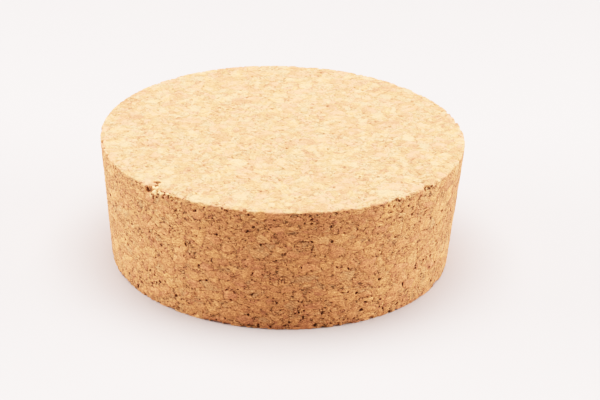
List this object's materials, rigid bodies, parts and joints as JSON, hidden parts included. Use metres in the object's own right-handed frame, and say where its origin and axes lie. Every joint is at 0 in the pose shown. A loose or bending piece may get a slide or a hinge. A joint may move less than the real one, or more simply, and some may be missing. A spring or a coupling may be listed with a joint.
{
  "type": "cork stopper",
  "caption": "Wide tapered stopper pressed from cork granules; its narrow end pushes into a round jar mouth to close it.",
  "frame": {"origin": "centre of the narrow end face, which the stopper rests on", "axes": "+Z along the stopper's axis, from the narrow face up to the wide face"},
  "size_m": [0.085, 0.085, 0.03],
  "materials": {
    "cork": "matte pressed granules, cut and sanded"
  },
  "bodies": {
    "root": {"stopper": "cork"}
  },
  "joints": []
}
